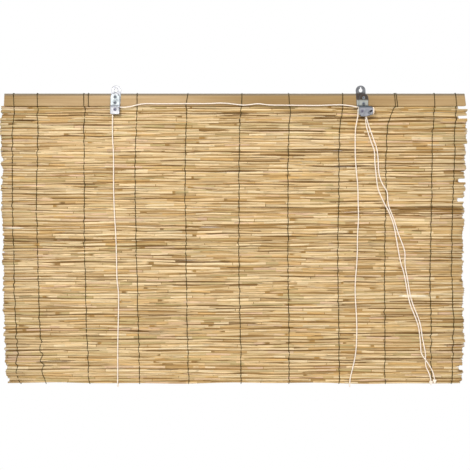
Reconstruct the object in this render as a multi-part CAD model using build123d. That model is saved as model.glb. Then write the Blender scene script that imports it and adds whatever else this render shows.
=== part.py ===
from build123d import *
import os
from math import cos, pi, radians, sin, tan

# Reed roll up blind: a stitched reed mat under a wooden headrail, hung by two pulley brackets,
# with two draw cords that pass under the mat, over the pulleys and through a roller lock.
# X runs to the right, Y back to the wall and Z up. The origin lies midway between the two
# hanging holes, on the headrail's front face.

# Headrail, a planed batten
rail_length = 997
rail_height = 27
rail_thickness = 12
rail_edge_radius = 1.5
rail_corner_radius = 3.0
rail_left_slant = 1.7
rail_right_slant = 4.0
rail_drop = 6.5
rail_shift = -7.3

# Reed mat, one wall of reed rows with ragged ends and thin gaps between rows
mat_width = 1000
mat_shift = -2.4
mat_gap = 0.3
reed_rows = 110
reed_pitch = 5.507
reed_thickness = 6.0
web_thickness = 2.2
reed_size_shares = (0.94, 1.07, 0.88, 1.02, 1.12, 0.96, 0.90, 1.10, 1.00, 0.93, 1.08)
reed_raggedness = 4.5
left_end_shares = (0.2, -0.6, 0.9, 0.1, 0.7, -0.3, 1.0, -0.1, 0.5, -0.9, 0.4, -0.5, 0.8)
right_end_shares = (-0.4, 0.5, 0.0, 1.0, -0.7, 0.3, -0.2, 0.8, -1.0, 0.6, 0.1, -0.8, 0.4, -0.1, 0.9)
gap_height = 0.9
gap_length = 80
gap_length_shares = (1.0, 0.6, 1.3, 0.8, 0.5, 1.15, 0.7)
gap_place_shares = (-0.43, 0.21, -0.12, 0.37, -0.29, 0.06, 0.45, -0.20, 0.29, -0.37, 0.14, -0.04, 0.40)

# Stitch threads, each a loop of twine round the headrail and down both sides of the mat
thread_width = 1.5
thread_thickness = 1.0
thread_clearance = 0.3
thread_place_shares = (
    -0.477, -0.423, -0.322, -0.210, -0.102, 0.014, 0.120, 0.229, 0.330, 0.430, 0.478,
)

# Hanger plates, flat stampings with a ring and a keyhole
hanger_spacing = 526
plate_thickness = 1.2
ring_radius = 10.5
keyhole_radius = 4.0
keyhole_slot_radius = 1.8
keyhole_rise = 5.2
cheek_corner_radius = 3.0

# Front plates, stepped forward over the pulleys
strap_width = 20
bend_radius = 0.8
left_strap_shift = -2.5
left_strap_margin = 1.0
right_strap_shift = 6.6
right_strap_margin = 2.8
hanger_lean = 2.2

# Plate screws, cross-head, through both plates into the headrail
screw_radius = 1.5
screw_length = 11.5
screw_tip = 3.0
screw_head_radius = 3.2
screw_head_height = 1.8
screw_slot_length = 3.8
screw_slot_width = 0.8
screw_slot_depth = 1.0
screw_spacing = 12
screw_clearance = 0.05
left_screw_drop = 7.1
right_screw_drop = 9.3

# Cord and pulleys
cord_diameter = 2.6
cord_groove_clearance = 0.35
sheave_width = 5.0
sheave_flange_rise = 0.9
sheave_side_clearance = 0.35
sheave_between_clearance = 0.3
left_cord_radius = 5.4
right_cord_radius = 8.6
left_axle_below_rail = 7.3
right_axle_below_rail = 11.1
right_axle_shift = 2.6
axle_radius = 2.0
axle_clearance = 0.05
rivet_head_radius = 3.4
rivet_head_height = 1.0
rivet_bore_radius = 1.2
rivet_bore_depth = 1.6
web_clearance = 0.8

# Left cheek, below the axle
left_cheek_depth = 10.2

# Right cheeks, measured from the axle
right_cheek_left = 6.9
right_cheek_right = 26.4
right_cheek_lobe_rise = 9.6
right_cheek_lobe_drop = 7.0
right_cheek_foot = 12.0
right_cheek_depth = 11.2

# Cord lock, a ribbed roller on a pin in slanted slots
lock_angle = 40
lock_travel = 7.0
lock_offset = 14.6
lock_drop = 3.4
lock_roller_radius = 4.2
lock_rib_depth = 0.4
lock_ribs = 18
lock_pin_radius = 1.5
lock_pin_clearance = 0.05
lock_slot_clearance = 0.1
lock_pin_head_radius = 2.3
lock_pin_head_height = 0.8
lock_end_clearance = 0.3

# Staples on the headrail's back and stop knots at the strands' ends
staple_wire_radius = 0.6
staple_half_width = 3.2
staple_depth = 8.0
staple_drop = 14
staple_clearance = 0.05
cord_seat_clearance = 0.3
knot_radius = 3.3
knot_tail = 4.0
knot_tail_radius = 1.2

# Cord routes: up the back, under the mat, up the front, over the pulleys and down to the knot
left_route = (
    (-263.5, 13.7, -13.0), (-263.8, 13.8, -31.0), (-264.2, 13.3, -62.0), (-264.0, 12.4, -116.0),
    (-263.4, 11.8, -173.0), (-263.0, 11.5, -231.0), (-263.3, 11.4, -289.0), (-264.0, 11.5, -347.0),
    (-264.6, 11.4, -405.0), (-264.9, 11.5, -463.0), (-264.6, 11.6, -520.0), (-264.3, 11.8, -576.0),
    (-264.2, 12.0, -612.0), (-264.4, 12.2, -634.0), (-264.5, 12.1, -646.5), (-264.7, 0.0, -646.5),
    (-264.8, -0.1, -634.0), (-264.6, 0.6, -613.0), (-264.4, 0.8, -584.0), (-264.0, 0.7, -550.0),
    (-263.1, 0.8, -516.0), (-261.9, 0.7, -482.0), (-261.2, 0.8, -448.0), (-262.2, 0.7, -429.0),
    (-264.9, 0.8, -410.0), (-265.1, 0.7, -376.0), (-265.6, 0.8, -341.0), (-266.6, 0.7, -306.0),
    (-268.9, 0.8, -271.0), (-270.0, 0.7, -236.0), (-270.5, 0.8, -201.0), (-270.1, 0.7, -166.0),
    (-270.0, 0.6, -132.0), (-271.4, 0.2, -112.0), (-271.8, -0.8, -93.0), (-271.6, -2.6, -76.0),
    (-270.9, -3.9, -60.0), (-270.9, -4.05, -46.2), (-270.9, -4.05, -35.4), (-260.1, -4.05, -35.4),
    (-248.0, -4.0, -36.2), (-236.0, -3.8, -35.4), (-219.0, -3.5, -31.2), (-203.0, -3.3, -27.8),
    (-172.0, -3.2, -28.6), (-113.0, -3.2, -28.0), (-62.0, -3.2, -28.3), (-37.0, -3.3, -26.6),
    (-15.0, -3.3, -28.6), (6.0, -3.2, -31.2), (20.0, -3.2, -31.3), (42.0, -3.3, -27.7),
    (63.0, -3.2, -31.4), (108.0, -3.2, -31.6), (168.0, -3.3, -32.4), (204.0, -3.4, -31.0),
    (223.0, -3.6, -30.6), (241.0, -3.9, -32.6), (257.0, -4.05, -36.0), (274.2, -4.05, -36.0),
    (274.2, -4.05, -53.2), (274.0, -3.6, -66.0), (276.6, -1.9, -80.0), (280.8, -0.5, -93.0),
    (287.4, 0.0, -112.0), (294.8, 0.1, -130.0), (294.8, 0.0, -151.0), (297.4, 0.0, -174.0),
    (299.6, -0.1, -194.0), (302.2, -0.2, -212.0), (310.0, -0.3, -229.5), (318.6, -0.3, -247.5),
    (325.4, -0.2, -258.5), (332.3, -0.1, -275.0), (338.4, 0.0, -292.5), (342.9, 0.1, -316.5),
    (348.0, 0.1, -345.0), (353.6, 0.0, -374.5), (359.5, 0.1, -390.0), (364.3, 0.0, -411.0),
    (369.1, 0.1, -440.0), (375.7, 0.0, -467.0), (384.4, 0.1, -486.0), (393.8, 0.0, -510.5),
    (396.7, -0.3, -531.0), (398.9, -1.0, -553.0), (399.3, -2.6, -570.0), (406.0, -3.8, -581.5),
    (414.8, -3.8, -592.5), (421.5, -2.0, -603.5), (426.8, -1.2, -614.0), (429.4, -1.6, -624.0),
    (430.4, -2.2, -632.5),
)
right_route = (
    (254.5, 13.7, -13.0), (254.2, 13.8, -31.0), (253.9, 13.3, -62.0), (253.4, 12.4, -116.0),
    (253.2, 11.8, -173.0), (252.6, 11.5, -231.0), (251.6, 11.4, -289.0), (250.9, 11.5, -347.0),
    (249.8, 11.4, -405.0), (249.1, 11.5, -463.0), (248.0, 11.6, -520.0), (246.7, 11.8, -576.0),
    (246.1, 12.0, -612.0), (245.5, 12.2, -634.0), (245.2, 12.1, -646.5), (245.0, 0.0, -646.5),
    (244.4, -0.1, -634.0), (246.3, 0.6, -622.0), (250.2, 0.8, -607.0), (254.0, 0.7, -590.0),
    (257.0, 0.8, -572.0), (258.6, 0.7, -552.0), (259.3, 0.8, -519.0), (257.9, 0.7, -484.0),
    (255.1, 0.8, -450.0), (254.6, 0.7, -415.0), (257.7, 0.8, -380.0), (259.2, 0.7, -345.0),
    (258.7, 0.8, -310.0), (261.3, 0.7, -276.0), (259.6, 0.8, -240.0), (259.1, 0.7, -206.0),
    (254.9, 0.8, -171.0), (252.5, 0.6, -137.0), (252.3, -0.4, -113.0), (251.9, -2.2, -95.0),
    (252.4, -5.2, -79.0), (254.8, -8.4, -65.0), (257.0, -9.35, -53.2), (257.0, -9.35, -36.0),
    (274.2, -9.35, -36.0), (274.2, -9.35, -53.2), (276.8, -8.4, -65.0), (281.8, -5.2, -79.0),
    (287.4, -2.0, -93.0), (293.4, -0.5, -109.0), (299.4, 0.0, -124.0), (302.2, 0.1, -145.0),
    (302.8, 0.0, -166.0), (304.6, 0.0, -181.0), (308.4, -0.1, -193.5), (314.8, -0.2, -206.5),
    (323.0, -0.3, -217.0), (323.7, -0.3, -234.0), (325.2, -0.2, -248.0), (330.6, -0.1, -261.0),
    (339.2, 0.0, -281.0), (346.0, 0.1, -305.0), (355.0, 0.0, -327.0), (361.8, 0.1, -345.0),
    (362.9, 0.0, -357.0), (362.2, 0.1, -371.0), (364.3, 0.0, -389.0), (369.4, 0.1, -410.5),
    (373.4, 0.0, -438.0), (380.6, 0.1, -464.0), (389.2, 0.0, -483.0), (398.6, 0.1, -508.5),
    (402.3, 0.2, -537.0), (407.3, 0.3, -558.0), (410.6, 0.4, -576.0), (409.8, 0.3, -590.0),
    (411.2, 0.2, -602.0), (417.6, -0.2, -614.0), (421.4, -1.0, -625.0), (422.6, -2.2, -635.5),
)
route_bend_share = 0.45

# Shared overrun of cutting tools
overrun = 5

# Worked out from the sizes above
rail_top = -rail_drop
rail_bottom = rail_top - rail_height
mat_middle_x = rail_shift + mat_shift
mat_middle_y = rail_thickness / 2
mat_top = rail_bottom - mat_gap
strap_front = -2 * plate_thickness
left_hole_x = -hanger_spacing / 2
right_hole_x = hanger_spacing / 2
left_strap_x = left_hole_x + left_strap_shift
right_strap_x = right_hole_x + right_strap_shift
left_axle_z = rail_bottom - left_axle_below_rail
right_axle_x = right_hole_x + right_axle_shift
right_axle_z = rail_bottom - right_axle_below_rail
cord_radius = cord_diameter / 2
left_cage_depth = sheave_width + 2 * sheave_side_clearance
right_cage_depth = left_cage_depth + sheave_width + sheave_between_clearance
rear_sheave_y = -plate_thickness - sheave_side_clearance - sheave_width / 2
front_sheave_y = rear_sheave_y - sheave_width - sheave_between_clearance
left_cheek_front = -plate_thickness - left_cage_depth - plate_thickness
right_cheek_front = -plate_thickness - right_cage_depth - plate_thickness
left_web_top = left_axle_z + left_cord_radius + sheave_flange_rise + web_clearance + plate_thickness
right_web_top = right_axle_z + right_cord_radius + sheave_flange_rise + web_clearance + plate_thickness
lock_x = right_axle_x + lock_offset
lock_z = right_axle_z - lock_drop
lock_middle_x = lock_x + lock_travel / 2 * cos(radians(lock_angle))
lock_middle_z = lock_z + lock_travel / 2 * sin(radians(lock_angle))
screw_places = [
    (left_strap_x, rail_top - left_screw_drop),
    (left_strap_x, rail_top - left_screw_drop - screw_spacing),
    (right_strap_x, rail_top - right_screw_drop),
    (right_strap_x, rail_top - right_screw_drop - screw_spacing),
]


def rod(radius, y_from, y_to, x, z):
    """Round bar along Y between two depths."""
    return Pos(x, (y_from + y_to) / 2, z) * Rot(90, 0, 0) * Cylinder(radius, abs(y_to - y_from))


def slab(face, y_front, y_back):
    """Front-view outline made into a plate between two depths."""
    return Pos(0, y_back, 0) * extrude(Plane.XZ * face, amount=y_back - y_front)


def reed_row_spans():
    """Top, bottom and size share of each reed row, from the headrail down."""
    spans = []
    top = mat_top
    for row in range(reed_rows):
        share = reed_size_shares[row % len(reed_size_shares)]
        bottom = top - reed_pitch * share
        spans.append((top, bottom, share))
        top = bottom
    return spans


row_spans = reed_row_spans()
mat_bottom = row_spans[-1][1]


def ridged_section(margin):
    """Section across the mat, in Y and Z, grown by a margin."""
    web = web_thickness / 2 + margin
    first_top = mat_top + margin
    last_bottom = mat_bottom - margin
    edges = []
    for side in (-1, 1):
        web_y = mat_middle_y + side * web
        for top, bottom, share in row_spans:
            crest_y = mat_middle_y + side * (reed_thickness / 2 * share + margin)
            edges.append(ThreePointArc((web_y, top), (crest_y, (top + bottom) / 2), (web_y, bottom)))
        if margin > 0:
            edges.append(Line((web_y, mat_top), (web_y, first_top)))
            edges.append(Line((web_y, mat_bottom), (web_y, last_bottom)))
    for z in (first_top, last_bottom):
        edges.append(Line((mat_middle_y - web, z), (mat_middle_y + web, z)))
    return make_face(edges)


def mat_outline():
    """Front view of the mat: stepped ragged ends, with the gaps between rows left open."""
    right_side = []
    left_side = []
    for row, (top, bottom, share) in enumerate(row_spans):
        right_end = mat_middle_x + mat_width / 2
        right_end += reed_raggedness * right_end_shares[row % len(right_end_shares)]
        left_end = mat_middle_x - mat_width / 2
        left_end += reed_raggedness * left_end_shares[row % len(left_end_shares)]
        right_side += [(right_end, top), (right_end, bottom)]
        left_side += [(left_end, top), (left_end, bottom)]
    gaps = []
    for row, (top, bottom, share) in enumerate(row_spans[:-1]):
        place = mat_middle_x + mat_width * gap_place_shares[row % len(gap_place_shares)]
        length = gap_length * gap_length_shares[row % len(gap_length_shares)]
        gaps.append(Pos(place, bottom) * Rectangle(length, gap_height))
    return make_face(Polyline(*right_side, *reversed(left_side), close=True)) - gaps


def make_reed_mat():
    """Ridged wall, trimmed to its outline."""
    half_length = mat_width / 2 + reed_raggedness + overrun
    ridges = Pos(mat_middle_x, 0, 0) * extrude(Plane.YZ * ridged_section(0), amount=half_length, both=True)
    reach = reed_thickness + overrun
    return ridges & slab(mat_outline(), mat_middle_y - reach, mat_middle_y + reach)


def rail_section(margin):
    """Section across the headrail, in Y and Z, grown by a margin."""
    middle_z = (rail_top + rail_bottom) / 2
    return Pos(rail_thickness / 2, middle_z) * Rectangle(
        rail_thickness + 2 * margin, rail_height + 2 * margin
    )


def make_stitch_threads():
    """Loops of twine round headrail and mat, one for each stitch line."""
    outer_margin = thread_clearance + thread_thickness
    outer = ridged_section(outer_margin) + rail_section(outer_margin)
    inner = ridged_section(thread_clearance) + rail_section(thread_clearance)
    loop = extrude(Plane.YZ * (outer - inner), amount=thread_width / 2, both=True)
    return [Pos(mat_middle_x + mat_width * share, 0, 0) * loop for share in thread_place_shares]


def make_headrail():
    """Batten with slanted ends and eased edges, pilot holes for the screws and holes for the staples."""
    left_end = rail_shift - rail_length / 2
    right_end = rail_shift + rail_length / 2
    front = make_face(Polyline(
        (left_end + rail_left_slant, rail_top), (right_end - rail_right_slant, rail_top),
        (right_end, rail_bottom), (left_end, rail_bottom), close=True,
    ))
    front = fillet(front.vertices().group_by(Axis.Y)[0], rail_corner_radius)
    rail = slab(front, 0, rail_thickness)
    rail = fillet(rail.edges().filter_by(Axis.X), rail_edge_radius)
    pilot_depth = screw_length + strap_front + screw_clearance
    for x, z in screw_places:
        rail -= rod(screw_radius + screw_clearance, -overrun, pilot_depth, x, z)
    for x in (left_route[0][0], right_route[0][0]):
        for side in (-1, 1):
            leg_x = x + side * staple_half_width
            leg_floor = rail_thickness - staple_depth - staple_clearance
            hole_radius = staple_wire_radius + staple_clearance
            rail -= rod(hole_radius, leg_floor, rail_thickness + overrun, leg_x, rail_top - staple_drop)
    return rail


def keyhole(x):
    """Cutter for a hanging hole: a round entry with a narrow slot above it."""
    entry = Pos(x, 0) * Circle(keyhole_radius)
    slot = Pos(x, keyhole_rise / 2) * Rectangle(2 * keyhole_slot_radius, keyhole_rise)
    seat = Pos(x, keyhole_rise) * Circle(keyhole_slot_radius)
    return slab(entry + slot + seat, -plate_thickness - overrun, overrun)


def rounded(corners, radius):
    """Convex outline with rounded corners."""
    discs = [Pos(x, z) * Circle(radius) for x, z in corners]
    edges = [edge for disc in discs for edge in disc.edges()]
    return make_hull(edges)


def right_cheek_outline(reach):
    """Wide cheek of the cord lock, seen from the front."""
    inset = cheek_corner_radius
    strap_edge = right_strap_x + strap_width / 2 - right_axle_x
    web_rise = right_web_top - right_axle_z
    corners = [
        (inset - right_cheek_left, web_rise - inset),
        (strap_edge - inset, web_rise - inset),
        (reach - inset, right_cheek_lobe_rise - inset),
        (reach - inset, inset - right_cheek_lobe_drop),
        (right_cheek_foot - inset, inset - right_cheek_depth),
        (2 * inset - right_cheek_left, inset - right_cheek_depth),
        (inset - right_cheek_left, inset - right_cheek_lobe_drop),
    ]
    return Pos(right_axle_x, right_axle_z) * rounded(corners, inset)


def strap_outline(x, top, bottom):
    """Strap with a round head, seen from the front."""
    half = strap_width / 2
    head = Pos(x, top - half) * Circle(half)
    return head + Pos(x, (top - half + bottom) / 2) * Rectangle(strap_width, top - half - bottom)


def screw_holes(places):
    """Cutters for the screws through both plates."""
    hole_radius = screw_radius + screw_clearance
    return [rod(hole_radius, strap_front - overrun, overrun, x, z) for x, z in places]


def lock_slot(y_front, y_back):
    """Cutter for the slanted slot of the lock pin."""
    width = 2 * (lock_pin_radius + lock_slot_clearance)
    slot = Pos(lock_middle_x, lock_middle_z) * Rot(0, 0, lock_angle) * SlotCenterToCenter(lock_travel, width)
    return slab(slot, y_front, y_back)


def make_left_hanger_plate():
    """Ring above, rear cheek of the pulley below."""
    half = strap_width / 2 - cheek_corner_radius
    foot_z = left_axle_z - left_cheek_depth + cheek_corner_radius
    ring = Pos(left_hole_x, 0) * Circle(ring_radius)
    feet = [Pos(left_strap_x + side * half, foot_z) * Circle(cheek_corner_radius) for side in (-1, 1)]
    outline = make_hull(ring.edges() + feet[0].edges() + feet[1].edges())
    plate = slab(outline, -plate_thickness, 0) - keyhole(left_hole_x)
    plate -= screw_holes(screw_places[:2])
    return plate - rod(axle_radius, -plate_thickness - overrun, overrun, left_strap_x, left_axle_z)


def make_right_hanger_plate():
    """Ring above, wide rear cheek of the cord lock below."""
    ring = Pos(right_hole_x, 0) * Circle(ring_radius)
    foot = Pos(right_hole_x + hanger_lean, right_web_top) * Circle(strap_width / 2)
    outline = make_hull(ring.edges() + foot.edges()) + right_cheek_outline(right_cheek_right)
    plate = slab(outline, -plate_thickness, 0) - keyhole(right_hole_x)
    plate -= screw_holes(screw_places[2:])
    plate -= lock_slot(-plate_thickness - overrun, overrun)
    return plate - rod(axle_radius, -plate_thickness - overrun, overrun, right_axle_x, right_axle_z)


def stepped_sheet(x_from, x_to, top, web_top, cheek_back, bottom):
    """Sheet that lies on the hanger plate, steps forward and hangs down as a cheek."""
    back = -plate_thickness
    web_bottom = web_top - plate_thickness
    cheek_front = cheek_back - plate_thickness
    points = [
        (back, top), (back, web_bottom), (cheek_back, web_bottom), (cheek_back, bottom),
        (cheek_front, bottom), (cheek_front, web_top), (strap_front, web_top), (strap_front, top),
    ]
    outer = bend_radius + plate_thickness
    radii = (0, outer, bend_radius, 0, 0, outer, bend_radius, 0)
    section = FilletPolyline(*points, radius=radii, close=True)
    sheet = extrude(Plane.YZ * make_face(section), amount=x_to - x_from)
    return Pos(x_from, 0, 0) * sheet


def make_left_pulley_plate():
    """Strap, step and narrow cheek over the left pulley."""
    top = -keyhole_radius - left_strap_margin
    bottom = left_axle_z - left_cheek_depth
    half = strap_width / 2
    cheek_back = left_cheek_front + plate_thickness
    sheet = stepped_sheet(left_strap_x - half, left_strap_x + half, top, left_web_top, cheek_back, bottom)
    foot = bottom + cheek_corner_radius
    outline = strap_outline(left_strap_x, top, foot)
    inner = half - cheek_corner_radius
    corners = [(left_strap_x + side * inner, foot) for side in (-1, 1)]
    outline += rounded(corners, cheek_corner_radius)
    plate = sheet & slab(outline, left_cheek_front - overrun, overrun)
    plate -= screw_holes(screw_places[:2])
    return plate - rod(axle_radius, left_cheek_front - overrun, 0, left_strap_x, left_axle_z)


def make_right_lock_plate():
    """Strap, step and wide cheek of the cord lock, with its right end folded back."""
    top = -keyhole_radius - right_strap_margin
    bottom = right_axle_z - right_cheek_depth
    left_x = right_axle_x - right_cheek_left
    right_x = right_axle_x + right_cheek_right
    cheek_back = right_cheek_front + plate_thickness
    bend = bend_radius + plate_thickness
    fold_x = right_x - 2 * bend
    sheet = stepped_sheet(left_x, fold_x, top, right_web_top, cheek_back, bottom)
    outline = strap_outline(right_strap_x, top, right_web_top - plate_thickness)
    outline += right_cheek_outline(fold_x - right_axle_x)
    plate = sheet & slab(outline, right_cheek_front - overrun, overrun)
    wall_x = right_x - plate_thickness
    points = [
        (fold_x, cheek_back), (wall_x, cheek_back), (wall_x, -plate_thickness),
        (right_x, -plate_thickness), (right_x, right_cheek_front), (fold_x, right_cheek_front),
    ]
    section = FilletPolyline(*points, radius=(0, bend_radius, 0, 0, bend, 0), close=True)
    wall_top = right_axle_z + right_cheek_lobe_rise - cheek_corner_radius
    wall_bottom = right_axle_z - right_cheek_lobe_drop + cheek_corner_radius
    plate += Pos(0, 0, wall_bottom) * extrude(make_face(section), amount=wall_top - wall_bottom)
    plate -= screw_holes(screw_places[2:])
    plate -= lock_slot(right_cheek_front - overrun, cheek_back + overrun)
    return plate - rod(axle_radius, right_cheek_front - overrun, 0, right_axle_x, right_axle_z)


def make_screw(x, z):
    """Pan-head screw with a cross recess and a pointed tip."""
    face = strap_front
    head = rod(screw_head_radius, face - screw_head_height, face, x, z)
    head = fillet(head.edges().sort_by(Axis.Y)[0], screw_head_height / 2)
    for turn in (0, 90):
        recess = Rot(0, turn, 0) * Box(screw_slot_length, screw_slot_depth, screw_slot_width)
        head -= Pos(x, face - screw_head_height + screw_slot_depth / 2, z) * recess
    shank_end = face + screw_length - screw_tip
    shank = rod(screw_radius, face, shank_end, x, z)
    tip = Pos(x, shank_end + screw_tip / 2, z) * Rot(-90, 0, 0) * Cone(screw_radius, 0, screw_tip)
    return head + shank + tip


def make_rivet(x, z, cheek_front):
    """Tubular rivet, the fixed axle of the pulleys."""
    front = cheek_front - rivet_head_height
    front_head = rod(rivet_head_radius, front, cheek_front, x, z)
    front_head = fillet(front_head.edges().sort_by(Axis.Y)[0], rivet_head_height / 2)
    rear_head = rod(rivet_head_radius, 0, rivet_head_height, x, z)
    rear_head = fillet(rear_head.edges().sort_by(Axis.Y)[-1], rivet_head_height / 2)
    rivet = front_head + rod(axle_radius, cheek_front, 0, x, z) + rear_head
    return rivet - rod(rivet_bore_radius, front, front + rivet_bore_depth, x, z)


def make_sheave(cord_path_radius, x, y, z):
    """Grooved pulley about Y."""
    rim = cord_path_radius + sheave_flange_rise
    floor = cord_path_radius - cord_radius - cord_groove_clearance
    mouth = cord_radius + 2 * cord_groove_clearance
    bottom = cord_radius
    half = sheave_width / 2
    bore = axle_radius + axle_clearance
    points = [
        (bore, -half), (rim, -half), (rim, -mouth), (floor, -bottom),
        (floor, bottom), (rim, mouth), (rim, half), (bore, half),
    ]
    wheel = revolve(make_face(Polyline(*points, close=True)), axis=Axis.Y)
    return Pos(x, y, z) * wheel


def make_lock_roller():
    """Ribbed roller on the lock pin."""
    points = []
    for step in range(2 * lock_ribs):
        angle = pi * step / lock_ribs
        radius = lock_roller_radius - lock_rib_depth * (step % 2)
        points.append((lock_x + radius * cos(angle), lock_z + radius * sin(angle)))
    rear = -plate_thickness - sheave_side_clearance
    front = -plate_thickness - right_cage_depth + sheave_side_clearance
    roller = slab(make_face(Polyline(*points, close=True)), front, rear)
    return roller - rod(lock_pin_radius + lock_pin_clearance, front - overrun, rear + overrun, lock_x, lock_z)


def make_lock_pin():
    """Pin with a flat head outside each cheek."""
    rear = lock_end_clearance
    front = right_cheek_front - lock_end_clearance
    pin = rod(lock_pin_radius, front, rear, lock_x, lock_z)
    pin += rod(lock_pin_head_radius, rear, rear + lock_pin_head_height, lock_x, lock_z)
    return pin + rod(lock_pin_head_radius, front - lock_pin_head_height, front, lock_x, lock_z)


def make_staple(x):
    """Wire staple across the cord on the headrail's back."""
    z = rail_top - staple_drop
    crown_y = rail_thickness + 2 * cord_seat_clearance + cord_diameter + staple_wire_radius
    points = [
        (x - staple_half_width, rail_thickness - staple_depth, z), (x - staple_half_width, crown_y, z),
        (x + staple_half_width, crown_y, z), (x + staple_half_width, rail_thickness - staple_depth, z),
    ]
    wire = FilletPolyline(*points, radius=2 * staple_wire_radius)
    return sweep(Plane(wire @ 0, z_dir=wire % 0) * Circle(staple_wire_radius), path=wire)


def make_cord(name, route):
    """Cord along its route, each corner rounded as far as its two runs allow."""
    points = [Vector(*point) for point in route]
    radii = []
    for before, corner, after in zip(points, points[1:], points[2:]):
        run_in = corner - before
        run_out = after - corner
        half_turn = radians(run_in.get_angle(run_out)) / 2
        radii.append(route_bend_share * min(run_in.length, run_out.length) / tan(half_turn))
    path = FilletPolyline(*points, radius=radii)
    tube = sweep(Plane(path @ 0, z_dir=path % 0) * Circle(cord_radius), path=path)
    share = tube.volume / (pi * cord_radius**2 * path.length)
    print(name, "length", round(path.length, 1), "volume share", round(share, 4))
    print(name, "arc radii", [round(radius, 1) for radius in radii])
    return tube


def make_knot(route):
    """Stop knot at a strand's end, with a short tail."""
    x, y, z = route[-1]
    tail = Pos(x, y, z - knot_radius - knot_tail / 2) * Cylinder(knot_tail_radius, knot_tail + knot_radius)
    return Pos(x, y, z) * Sphere(knot_radius) + tail


parts = {
    "headrail": make_headrail(),
    "reed_mat": make_reed_mat(),
    "left_hanger_plate": make_left_hanger_plate(),
    "left_pulley_plate": make_left_pulley_plate(),
    "left_plate_screws": Compound([make_screw(x, z) for x, z in screw_places[:2]]),
    "left_sheave": make_sheave(left_cord_radius, left_strap_x, rear_sheave_y, left_axle_z),
    "left_pulley_rivet": make_rivet(left_strap_x, left_axle_z, left_cheek_front),
    "right_hanger_plate": make_right_hanger_plate(),
    "right_lock_plate": make_right_lock_plate(),
    "right_plate_screws": Compound([make_screw(x, z) for x, z in screw_places[2:]]),
    "right_sheave_rear": make_sheave(right_cord_radius, right_axle_x, rear_sheave_y, right_axle_z),
    "right_sheave_front": make_sheave(right_cord_radius, right_axle_x, front_sheave_y, right_axle_z),
    "right_pulley_rivet": make_rivet(right_axle_x, right_axle_z, right_cheek_front),
    "lock_roller": make_lock_roller(),
    "lock_roller_pin": make_lock_pin(),
    "left_cord": make_cord("left_cord", left_route),
    "right_cord": make_cord("right_cord", right_route),
    "left_cord_knot": make_knot(left_route),
    "right_cord_knot": make_knot(right_route),
    "left_cord_staple": make_staple(left_route[0][0]),
    "right_cord_staple": make_staple(right_route[0][0]),
}
for number, thread in enumerate(make_stitch_threads(), start=1):
    parts[f"stitch_thread_{number:02d}"] = thread

os.makedirs("parts", exist_ok=True)
for name, shape in parts.items():
    export_step(shape, f"parts/{name}.step")
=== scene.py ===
import math
import bpy
import numpy as np
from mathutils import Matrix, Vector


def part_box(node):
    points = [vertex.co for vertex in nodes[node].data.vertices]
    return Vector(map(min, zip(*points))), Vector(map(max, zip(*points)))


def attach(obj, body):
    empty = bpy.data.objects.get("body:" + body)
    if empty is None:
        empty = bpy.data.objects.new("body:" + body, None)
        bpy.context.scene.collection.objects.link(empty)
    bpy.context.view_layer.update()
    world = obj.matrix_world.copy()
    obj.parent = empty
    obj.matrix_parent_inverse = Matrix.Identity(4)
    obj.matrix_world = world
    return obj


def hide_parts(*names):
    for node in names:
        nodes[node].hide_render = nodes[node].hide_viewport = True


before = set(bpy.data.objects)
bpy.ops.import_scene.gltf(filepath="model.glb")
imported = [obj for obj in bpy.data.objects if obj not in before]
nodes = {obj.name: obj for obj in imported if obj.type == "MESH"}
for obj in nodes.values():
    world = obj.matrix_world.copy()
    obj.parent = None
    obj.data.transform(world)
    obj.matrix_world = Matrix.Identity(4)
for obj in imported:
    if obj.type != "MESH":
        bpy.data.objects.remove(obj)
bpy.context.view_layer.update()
chance = np.random.default_rng(11)


# Headrail: a planed softwood batten that carries the mat and both brackets.
# It is pale tan with fine grain along its length and growth rings at its sawn ends,
# and a darker grey-brown band is painted along the arris at its top.
rail_low, rail_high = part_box("headrail")
rail_arris = 0.0062
rail_pith_below = 0.06
arris_band_share = 0.4
browning = (0.64, 0.58, 0.36, 1)
# How brown the wood is, by shares of the rail's length from its left end.
rail_browning_shares = (
    (0.0, 1.0), (0.1, 0.35), (0.2, 0.05), (0.36, 0.05), (0.42, 0.5), (0.55, 0.95), (0.73, 0.85),
    (0.88, 0.4), (1.0, 0.5),
)


def tone(red, green, blue):
    """Linear colour from screen values of 0 to 255."""
    shares = [value / 255 for value in (red, green, blue)]
    return (*[((share + 0.055) / 1.055) ** 2.4 for share in shares], 1.0)


def start_finish(name):
    """New material, its node tree and the shader that the other nodes feed."""
    finish = bpy.data.materials.new(name)
    finish.use_nodes = True
    return finish, finish.node_tree, finish.node_tree.nodes["Principled BSDF"]


def feed(tree, value, socket):
    """Link a socket to another one, or set it to a plain value."""
    if isinstance(value, bpy.types.NodeSocket):
        tree.links.new(value, socket)
    else:
        socket.default_value = value


def place_on_part(tree, stretch):
    """Place on the part in metres, multiplied along each axis."""
    place = tree.nodes.new("ShaderNodeTexCoord")
    scaled = tree.nodes.new("ShaderNodeVectorMath")
    scaled.operation = "MULTIPLY"
    scaled.inputs[1].default_value = stretch
    tree.links.new(place.outputs["Object"], scaled.inputs[0])
    return scaled.outputs[0]


def grain(tree, stretch, detail=4.0, roughness=0.55):
    """Noise drawn out into grain; stretch is how many spots there are in a metre along each axis."""
    noise = tree.nodes.new("ShaderNodeTexNoise")
    noise.inputs["Scale"].default_value = 1.0
    noise.inputs["Detail"].default_value = detail
    noise.inputs["Roughness"].default_value = roughness
    tree.links.new(place_on_part(tree, stretch), noise.inputs["Vector"])
    return noise.outputs["Fac"]


def shades(tree, factor, *stops):
    """Colours along a ramp, each given with its place."""
    ramp = tree.nodes.new("ShaderNodeValToRGB")
    for _ in stops[2:]:
        ramp.color_ramp.elements.new(1.0)
    for element, (place, colour) in zip(ramp.color_ramp.elements, stops):
        element.position = place
        element.color = colour
    tree.links.new(factor, ramp.inputs["Fac"])
    return ramp.outputs["Color"]


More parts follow.
